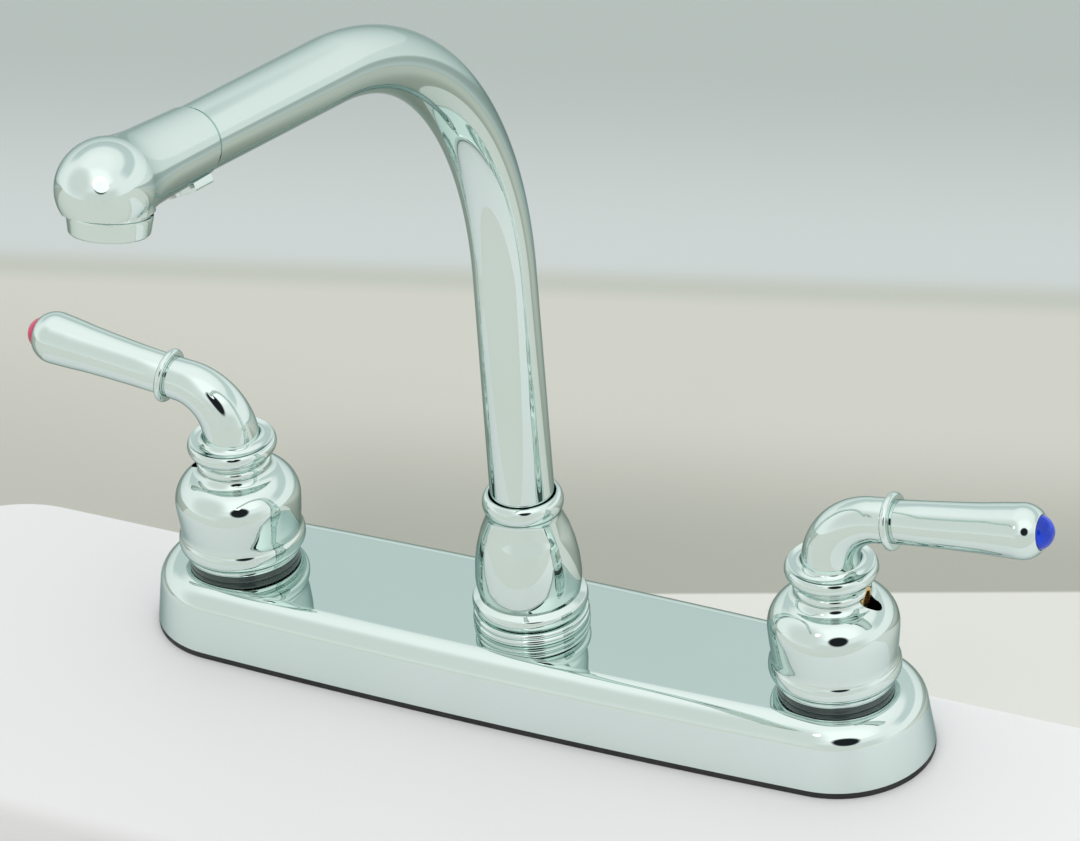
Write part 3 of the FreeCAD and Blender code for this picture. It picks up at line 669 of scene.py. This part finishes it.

# %% [markdown]
# A bead ring hides the joint between elbow and grip. The grip is slim by the ring and swells to
# a round end, where a domed button is set in a seat.

# %% Bead ring, grip and button
GRIP_LENGTH = 45.5
GRIP_END_R = 8.3
BUTTON_R = 5.1
BUTTON_RISE = 3.4
SCREW_SINK = 5.0
grip_at = BEAD_AT + BEAD_T
BEAD = [(2.6, 0), (7.6, 0), ((8.7, BEAD_T / 2), (7.6, BEAD_T)), (2.6, BEAD_T)]
GRIP = [(2.6, 0), (6.6, 0), ((6.98, 16.0), (7.5, 27.3)), ((8.1, 34.6), (GRIP_END_R, 38.4)),
        ((7.5, 43.0), (BUTTON_R + 0.4, GRIP_LENGTH)), (BUTTON_R, GRIP_LENGTH),
        (BUTTON_R, GRIP_LENGTH - SCREW_SINK), (2.6, GRIP_LENGTH - SCREW_SINK)]


def dome(radius, rise, foot):
    """Profile of a cap that is part of a ball, standing on a short cylinder."""
    ball = (radius ** 2 + rise ** 2) / (2 * rise)
    half = math.asin(radius / ball) / 2
    top = foot + rise
    return [(radius, foot), ((ball * math.sin(half), top - ball * (1 - math.cos(half))), (0, top))]


BUTTON_FOOT = -2.2
BUTTON_EDGE = 0.2
fitted_r = BUTTON_R - SLIP_FIT
BUTTON = [(0, BUTTON_FOOT), (fitted_r, BUTTON_FOOT)] + dome(fitted_r, BUTTON_RISE, BUTTON_EDGE)


def on_lever(distance):
    """Matrix of a place along the lever, in millimetres from the end of the bend."""
    return facing(elbow_end + lever_out * distance * MM, lever_out)


def lever_parts(side, place):
    handle = side + "_handle"
    finish_piece(soften(spun(BEAD, closed=True), FINE_SOFT), side + "_plated_bead", handle,
                 "chrome", [side + "_bead_ring"], place @ on_lever(BEAD_AT))
    finish_piece(soften(spun(GRIP, closed=True)), side + "_plated_grip", handle,
                 "chrome", [side + "_grip"], place @ on_lever(grip_at))
    finish_piece(soften(spun(BUTTON, steps=64), 0.12 * MM), side + "_domed_button", handle,
                 side + "_button", [side + "_index_button"],
                 place @ on_lever(grip_at + GRIP_LENGTH))


both_sides(lever_parts)
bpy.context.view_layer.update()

# %% [markdown]
# ## The spout's foot
# A base ring on the plate, then the bell shaped nut that holds the spout down. The bell is
# widest low down and draws in to a bead, out of which the tube rises.

# %% Base ring and bell of the spout
SPOUT_BELL_FOOT = 27.2
SPOUT_BELL_TOP = 68.0
SPOUT_BASE = [(13.6, plate_top), (17.4, plate_top), ((18.1, 23.4), (17.5, 24.7)),
              ((17.9, 25.5), (17.2, 26.7)), (15.2, 26.7), (15.2, SPOUT_BELL_FOOT),
              (13.6, SPOUT_BELL_FOOT)]
SPOUT_BELL = [(12.8, SPOUT_BELL_FOOT), (15.2, SPOUT_BELL_FOOT), (15.2, SPOUT_BELL_FOOT + 0.3),
              (17.0, SPOUT_BELL_FOOT + 0.3), ((17.9, 29.2), (17.5, 31.4)), (15.6, 32.4),
              ((16.3, 35.6), (16.5, 38.8)), ((15.1, 49.9), (11.6, 60.0)), (11.5, 61.0),
              (11.7, 62.0), ((12.5, 65.0), (11.7, 67.4)), (11.0, SPOUT_BELL_TOP),
              (10.4, SPOUT_BELL_TOP), (10.4, 50.0), (12.8, 50.0)]
finish_piece(soften(spun(SPOUT_BASE, closed=True)), "plated_spout_base", "base", "chrome",
             ["spout_base_ring"])
finish_piece(soften(spun(SPOUT_BELL, closed=True)), "plated_spout_bell", "base", "chrome",
             ["spout_bell"])
print("spout bell:", SPOUT_BELL_FOOT, "to", SPOUT_BELL_TOP, "mm")

# %% [markdown]
# ## The spout tube
# One tube, drawn through a single large bend, so that its arm still rises a little. A ring of
# edges is carried up the post, round the bend and out along the arm, where it is drawn in to
# enter the head. A narrow groove is left at that shoulder, because the joint shows as a fine dark
# line. The wall is added last.

# %% Spout tube
SPOUT_R_LOW = 10.0
SPOUT_R = 9.5
SPOUT_R_END = 9.1
SPOUT_WALL = 1.2
SPOUT_FOOT = 47.0
SPOUT_BEND_Z = 144.0
SPOUT_BEND_R = 115.0
SPOUT_BEND = math.radians(78.0)
SPOUT_BEND_STEPS = 90
ARM_LENGTH = 73.3
ARM_INSERT = 22.0
SPOUT_R_IN_HEAD = 8.3
SEAM_GAP = 1.3
arm_rise = math.pi / 2 - SPOUT_BEND
arm_out = Vector((0, -math.cos(arm_rise), math.sin(arm_rise)))
bend_end = Vector((0, -SPOUT_BEND_R * (1 - math.cos(SPOUT_BEND)),
                   SPOUT_BEND_Z + SPOUT_BEND_R * math.sin(SPOUT_BEND))) * MM


def grow(ratio, centre):
    """Scale about a point."""
    return (Matrix.Translation(centre) @ Matrix.Diagonal((ratio,) * 3 + (1,))
            @ Matrix.Translation(-centre))


bm = bmesh.new()
bmesh.ops.create_circle(bm, segments=LATHE_STEPS, radius=SPOUT_R_LOW * MM,
                        matrix=Matrix.Translation((0, 0, SPOUT_FOOT * MM)))
edges = list(bm.edges)
rise = Vector((0, 0, (SPOUT_BEND_Z - SPOUT_FOOT) * MM))
post_top = Vector((0, 0, SPOUT_BEND_Z * MM))
edges = carry(bm, edges, grow(SPOUT_R / SPOUT_R_LOW, post_top) @ Matrix.Translation(rise))
centre = post_top
about = Vector((0, -SPOUT_BEND_R, SPOUT_BEND_Z)) * MM
for i in range(SPOUT_BEND_STEPS):
    move, centre = on_axis(SPOUT_BEND / SPOUT_BEND_STEPS, 1.0, about, centre, "X")
    edges = carry(bm, edges, move)
arm_end = bend_end + arm_out * ARM_LENGTH * MM
bare_end = arm_end - arm_out * SEAM_GAP * MM
edges = carry(bm, edges, grow(SPOUT_R_END / SPOUT_R, bare_end)
              @ Matrix.Translation(bare_end - bend_end))
edges = carry(bm, edges, grow(SPOUT_R_IN_HEAD / SPOUT_R_END, bare_end))
edges = carry(bm, edges, Matrix.Translation(arm_out * (ARM_INSERT + SEAM_GAP) * MM))
bmesh.ops.recalc_face_normals(bm, faces=bm.faces)
bmesh.ops.solidify(bm, geom=list(bm.faces), thickness=SPOUT_WALL * MM)
finish_piece(bm, "plated_spout_tube", "spout", "chrome", ["spout_tube"])
print("head seam at", [round(c / MM, 1) for c in arm_end])

# %% [markdown]
# ## The spout head
# A sleeve over the end of the arm that widens into a ball, with a short skirt for the aerator.
# Sleeve and ball are one profile, spun about the arm. The skirt is joined on, then the ball is
# cut flat at the skirt's lip, and the bore for the aerator and the socket for the tube are cut.

# %% Spout head
HEAD_BALL_AT = 42.6
HEAD_BALL_R = 12.2
HEAD_SEAM_R = 9.6
HEAD_SLEEVE_R = 10.1
HEAD_SLEEVE = 21.0
OUTLET_BACK = 4.0
OUTLET_R = 11.5
OUTLET_DROP = 6.4
OUTLET_TILT = math.radians(3.0)
OUTLET_BORE_R = 10.0
WATER_WAY_R = 7.0
WATER_WAY_TOP = -0.5
SEAT_AT = 1.0
RECESS_R = 16.0
RECESS_DEPTH = 20
SOCKET_END = 23.2
slant = math.sqrt(0.5) * HEAD_BALL_R
eighth = math.pi / 8
HEAD = [(0, 0), (HEAD_SEAM_R - 0.3, 0), (HEAD_SEAM_R, 0.3), (HEAD_SLEEVE_R, HEAD_SLEEVE),
        ((10.5, 28.0), (11.3, 35.0)),
        ((HEAD_BALL_R, HEAD_BALL_AT), (slant, HEAD_BALL_AT + slant)),
        ((HEAD_BALL_R * math.sin(eighth), HEAD_BALL_AT + HEAD_BALL_R * math.cos(eighth)),
         (0, HEAD_BALL_AT + HEAD_BALL_R))]
lean = arm_rise + OUTLET_TILT
outlet_down = Vector((0, -math.sin(lean), -math.cos(lean)))
outlet_forward = Vector((0, -math.cos(lean), math.sin(lean)))
outlet = bend_end + arm_out * (ARM_LENGTH + HEAD_BALL_AT - OUTLET_BACK) * MM
at_outlet = facing(outlet, outlet_down)
on_head = facing(arm_end, arm_out)


def tool(profile, place):
    """Turned body that stands ready to be joined or cut."""
    bm = spun(profile)
    bmesh.ops.transform(bm, matrix=place, verts=bm.verts)
    return bm


head = finish_piece(spun(HEAD), "plated_spout_head", "spout", "chrome", ["spout_head"], on_head)
lip = OUTLET_DROP
skirt = [(0, 0), (OUTLET_R - 0.5, 0), (OUTLET_R, lip + 1), (0, lip + 1)]
cut(head, [tool(skirt, at_outlet)], "UNION")
under_ball = Matrix.Translation(outlet_forward * OUTLET_BACK * MM) @ at_outlet
below = [(0, lip), (RECESS_R, lip), (RECESS_R, lip + RECESS_DEPTH), (0, lip + RECESS_DEPTH)]
well = [(0, WATER_WAY_TOP), (WATER_WAY_R, WATER_WAY_TOP), (WATER_WAY_R, SEAT_AT),
        (OUTLET_BORE_R, SEAT_AT), (OUTLET_BORE_R, lip + 1), (0, lip + 1)]
tube_socket = [(0, -1), (SPOUT_R_IN_HEAD, -1), (SPOUT_R_IN_HEAD, SOCKET_END), (0, SOCKET_END)]
cut(head, [tool(below, under_ball), tool(well, at_outlet), tool(tube_socket, on_head)])
print("head faces:", len(head.data.polygons))

# %% [markdown]
# The aerator's ring screws into the skirt. It is a plain band here, with a soft lip, and a hair
# of groove parts it from the skirt.

# %% Aerator
AERATOR_R = 10.95
AERATOR_FOOT_R = 10.4
AERATOR_H = 6.4
AERATOR_IN = 4.0
AERATOR_BORE_R = 8.8
AERATOR_GROOVE_R = 10.2
AERATOR_GROOVE = 1.2
AERATOR = [(AERATOR_BORE_R, lip - AERATOR_IN), (OUTLET_BORE_R, lip - AERATOR_IN),
           (OUTLET_BORE_R, lip), (AERATOR_GROOVE_R, lip),
           (AERATOR_GROOVE_R, lip + AERATOR_GROOVE), (AERATOR_R, lip + AERATOR_GROOVE),
           ((AERATOR_R, lip + 1.9), (AERATOR_R - 0.1, lip + 2.6)),
           (AERATOR_FOOT_R, lip + AERATOR_H - 0.5), (AERATOR_FOOT_R - 0.5, lip + AERATOR_H),
           (8.1, lip + AERATOR_H), (8.1, lip + AERATOR_H - 1.2),
           (AERATOR_BORE_R, lip + AERATOR_H - 1.2)]
finish_piece(soften(spun(AERATOR, closed=True), FINE_SOFT), "plated_aerator_ring", "spout",
             "chrome", ["aerator_housing"], at_outlet)
print("aerator:", AERATOR_H, "mm tall")

# %% [markdown]
# ## The stage
# A white sink deck with a rounded corner lies under the faucet. The ground round it is cream by
# the deck, pale and warm beyond, and turns grey behind a ledge. They are the stage, not the
# object. Soft zones of colour do most of this, on the ground and later in the room, so four
# helpers come first: a soft step, a distance along a direction, where two masks meet, and a
# layer of paint.

# %% Helpers for soft zones
def ramp(tree, value, start, end):
    """0 up to start and 1 from end on, with a soft step between; start may be the larger."""
    node = tree.nodes.new("ShaderNodeMapRange")
    node.interpolation_type = "SMOOTHSTEP"
    node.inputs["From Min"].default_value = start
    node.inputs["From Max"].default_value = end
    tree.links.new(value, node.inputs["Value"])
    return node.outputs["Result"]


def along(tree, point, direction):
    """How far a point lies along a direction."""
    node = tree.nodes.new("ShaderNodeVectorMath")
    node.operation = "DOT_PRODUCT"
    node.inputs[1].default_value = direction
    tree.links.new(point, node.inputs[0])
    return node.outputs["Value"]


def both(tree, one, other):
    """A mask where two masks meet."""
    node = tree.nodes.new("ShaderNodeMath")
    node.operation = "MULTIPLY"
    tree.links.new(one, node.inputs[0])
    tree.links.new(other, node.inputs[1])
    return node.outputs["Value"]


def paint(tree, under, colour, mask, strength=1.0):
    """Lay a colour over another one where the mask is white."""
    mix = tree.nodes.new("ShaderNodeMix")
    mix.data_type = "RGBA"
    if isinstance(under, tuple):
        mix.inputs["A"].default_value = (*under, 1)
    else:
        tree.links.new(under, mix.inputs["A"])
    mix.inputs["B"].default_value = (*colour, 1)
    thin = tree.nodes.new("ShaderNodeMath")
    thin.operation = "MULTIPLY"
    thin.inputs[1].default_value = strength
    tree.links.new(mask, thin.inputs[0])
    tree.links.new(thin.outputs["Value"], mix.inputs["Factor"])
    return mix.outputs["Result"]


print("zone helpers ready")

# %% [markdown]
# The ground is one flat disc, and its zones are bands laid across it. Each one fades in with the
# distance along a level direction, so that no edge of a mesh shows. The ledge and the cream strip
# run a little askew, each by its own turn. Far away, out of the picture, the ground is white,
# because the arm of the spout mirrors it.

# %% Finishes of the stage
def across_ground(turn, square=False):
    """Level direction that runs away from the viewer, turned; square gives the one beside it."""
    away = Vector((-math.sin(turn), math.cos(turn), 0))
    return Vector((away.y, -away.x, 0)) if square else away


LEDGE_AWAY = across_ground(math.radians(15.5))
LEDGE_AT = 0.274
CREAM_AWAY = across_ground(math.radians(20.7))
CREAM_AT = 0.0742
PAINTED_SHADOW_ASIDE = across_ground(math.radians(20.0), square=True)


def ground_finish():
    """Cream by the deck, warm beyond it with painted shadow, and grey behind the ledge."""
    finish, tree, shader = new_finish("warm_ground", (0.68, 0.69, 0.61), 0.0, 0.7)
    point = tree.nodes.new("ShaderNodeTexCoord").outputs["Object"]
    away = along(tree, point, LEDGE_AWAY)
    depth = along(tree, point, (0, 1, 0))
    beside = along(tree, point, PAINTED_SHADOW_ASIDE)
    past_cream = along(tree, point, CREAM_AWAY)
    # painted shadow: a soft darker zone laid over the warm ground
    painted_shadow = both(tree, ramp(tree, beside, -0.15, -0.07), ramp(tree, away, 0.19, 0.10))
    # painted shadow: the warm ground darkens towards the deck's back edge
    colour = paint(tree, (0.67, 0.66, 0.60), (0.55, 0.545, 0.49), ramp(tree, depth, 0.20, 0.04))
    colour = paint(tree, colour, (0.42, 0.425, 0.37), painted_shadow, 0.8)
    for tone, mask, strength in (
            ((0.82, 0.81, 0.77), ramp(tree, past_cream, CREAM_AT + 0.001, CREAM_AT - 0.001), 1.0),
            ((0.54, 0.57, 0.51), ramp(tree, away, LEDGE_AT - 0.014, LEDGE_AT), 0.8),
            ((0.64, 0.68, 0.68), ramp(tree, away, LEDGE_AT, LEDGE_AT + 0.016), 1.0),
            ((0.48, 0.53, 0.51), ramp(tree, away, 0.30, 0.45), 1.0),
            ((0.93, 0.95, 0.94), ramp(tree, away, 0.56, 0.75), 1.0)):
        colour = paint(tree, colour, tone, mask, strength)
    tree.links.new(colour, shader.inputs["Base Color"])
    return finish


def deck_finish():
    """White, with painted light that lifts it a little towards its far right."""
    finish, tree, shader = new_finish("white_deck", (0.89, 0.875, 0.89), 0.0, 0.5)
    point = tree.nodes.new("ShaderNodeTexCoord").outputs["Object"]
    # painted light: the white deck grows lighter towards its far right
    painted_light = ramp(tree, along(tree, point, (1, 0, 0)), 0.0, 0.2)
    colour = paint(tree, (0.885, 0.87, 0.885), (0.95, 0.94, 0.95), painted_light)
    tree.links.new(colour, shader.inputs["Base Color"])
    return finish


print("ledge %.0f mm behind the spout's post" % (LEDGE_AT / MM))

# %% [markdown]
# The sink deck is a block with round corners and a soft rim.

# %% Sink deck and ground
SLAB_X = (-0.232, 0.9)
SLAB_Y = (-0.118, 0.036)
SLAB_CORNER = 0.04
SLAB_RIM = 0.006
SLAB_DEPTH = 0.02
GROUND_SIZE = 8.0


def slab():
    """Slab with rounded corners and edges."""
    bm = bmesh.new()
    bmesh.ops.create_cube(bm, size=1.0)
    size = Vector((SLAB_X[1] - SLAB_X[0], SLAB_Y[1] - SLAB_Y[0], SLAB_DEPTH))
    middle = Vector((sum(SLAB_X) / 2, sum(SLAB_Y) / 2, -SLAB_DEPTH / 2))
    bmesh.ops.scale(bm, vec=size, verts=bm.verts)
    bmesh.ops.translate(bm, vec=middle, verts=bm.verts)
    upright = [e for e in bm.edges if abs(e.verts[0].co.z - e.verts[1].co.z) > 0.5 * SLAB_DEPTH]
    bmesh.ops.bevel(bm, geom=upright, offset=SLAB_CORNER, segments=16, profile=0.5,
                    affect="EDGES", material=-1)
    rim = [e for e in bm.edges if all(v.co.z > -1e-6 for v in e.verts)]
    bmesh.ops.bevel(bm, geom=rim, offset=SLAB_RIM, segments=8, profile=0.5, affect="EDGES",
                    material=-1)
    return bm


def disc():
    """Flat disc at the foot of the slab."""
    bm = bmesh.new()
    bmesh.ops.create_circle(bm, cap_ends=True, segments=64, radius=GROUND_SIZE,
                            matrix=Matrix.Translation((0, 0, -SLAB_DEPTH)))
    return bm


def stage_piece(bm, name, finish):
    """Object of the stage, with its finish."""
    mesh = bpy.data.meshes.new(name)
    bm.to_mesh(mesh)
    bm.free()
    mesh.shade_smooth()
    mesh.set_sharp_from_angle(angle=SMOOTH_LIMIT)
    mesh.materials.append(finish)
    piece = bpy.data.objects.new(name, mesh)
    bpy.context.scene.collection.objects.link(piece)
    return piece


white_deck = stage_piece(slab(), "sink_deck", deck_finish())
ground = stage_piece(disc(), "ground", ground_finish())
print("stage:", white_deck.name, ground.name)

# %% [markdown]
# ## Light
# The room is what the chrome shows, so it is painted on the sky in soft zones: pale walls, a
# grey green back that the top of the plate mirrors, a brighter patch above the viewer, and the
# dark shape beside the camera that gives the small black ovals on the bells' shoulders.
# Directions are a bearing from the front towards +X, and a height, both in degrees.

# %% Room
world = bpy.data.worlds.new("room")
bpy.context.scene.world = world
world.use_nodes = True
room = world.node_tree
sight = room.nodes.new("ShaderNodeTexCoord").outputs["Generated"]
height = along(room, sight, UP)


def aim(bearing, tilt):
    """Direction in the room."""
    a, e = math.radians(bearing), math.radians(tilt)
    return Vector((math.sin(a) * math.cos(e), -math.cos(a) * math.cos(e), math.sin(e)))


def round_patch(bearing, tilt, core, rim):
    """Mask of a soft disc round a direction; core and rim are its half angles."""
    return ramp(room, along(room, sight, aim(bearing, tilt)), math.cos(math.radians(rim)),
                math.cos(math.radians(core)))


def rising(start, end):
    """Mask that fades in between two heights."""
    return ramp(room, height, math.sin(math.radians(start)), math.sin(math.radians(end)))


print("the room's masks work in degrees")

# %% [markdown]
# The zones are laid one over the other, from the largest to the smallest. The last is the dark
# shape, which sits just beside the camera's own direction, because a curved mirror shows the
# viewer's side of the room wherever it faces the viewer.

# %% Zones of the room
ROOM_STRENGTH = 1.06
DARK_BEARING = 31
low_front = both(room, round_patch(30, 0, 30, 60), rising(26, 12))
behind = both(room, round_patch(180, 10, 60, 80), both(room, rising(19, 25), rising(46, 36)))
above_viewer = both(room, round_patch(DARK_BEARING, 44, 20, 44), rising(30, 38))
walls = paint(room, (0.93, 0.95, 0.94), (1.02, 1.03, 1.02), rising(45, 70))
walls = paint(room, walls, (0.62, 0.64, 0.61), low_front, 0.7)
walls = paint(room, walls, (0.63, 0.70, 0.69), behind)
walls = paint(room, walls, (1.15, 1.16, 1.14), above_viewer)
walls = paint(room, walls, (0.74, 0.76, 0.74), round_patch(-34, 30, 14, 40))
walls = paint(room, walls, (0.015, 0.018, 0.02), round_patch(DARK_BEARING, 29, 13, 18.5))
background = room.nodes["Background"]
room.links.new(walls, background.inputs["Color"])
background.inputs["Strength"].default_value = ROOM_STRENGTH
print("room painted in", len(room.nodes), "nodes")

# %% [markdown]
# One small round lamp stands close to the spout's ball, for the soft highlight there. It covers
# the dark shape in the ball's reflection, and is too weak to show anywhere else.

# %% Ball lamp
LAMP_R = 0.034
LAMP_AWAY = 0.1
LAMP_POWER = 0.0145


def ball_lamp():
    """Round area lamp that looks at the spout's ball."""
    ball = bend_end + arm_out * (ARM_LENGTH + HEAD_BALL_AT) * MM
    data = bpy.data.lights.new("ball_lamp", "AREA")
    data.shape = "DISK"
    data.energy = LAMP_POWER
    data.size = 2 * LAMP_R
    lamp = bpy.data.objects.new("ball_lamp", data)
    towards = aim(33.5, 36.0)
    lamp.matrix_world = facing(ball + towards * LAMP_AWAY, towards)
    bpy.context.scene.collection.objects.link(lamp)
    lamp.visible_camera = False


ball_lamp()
print("lamp: %.0f mm from the ball" % (LAMP_AWAY / MM))
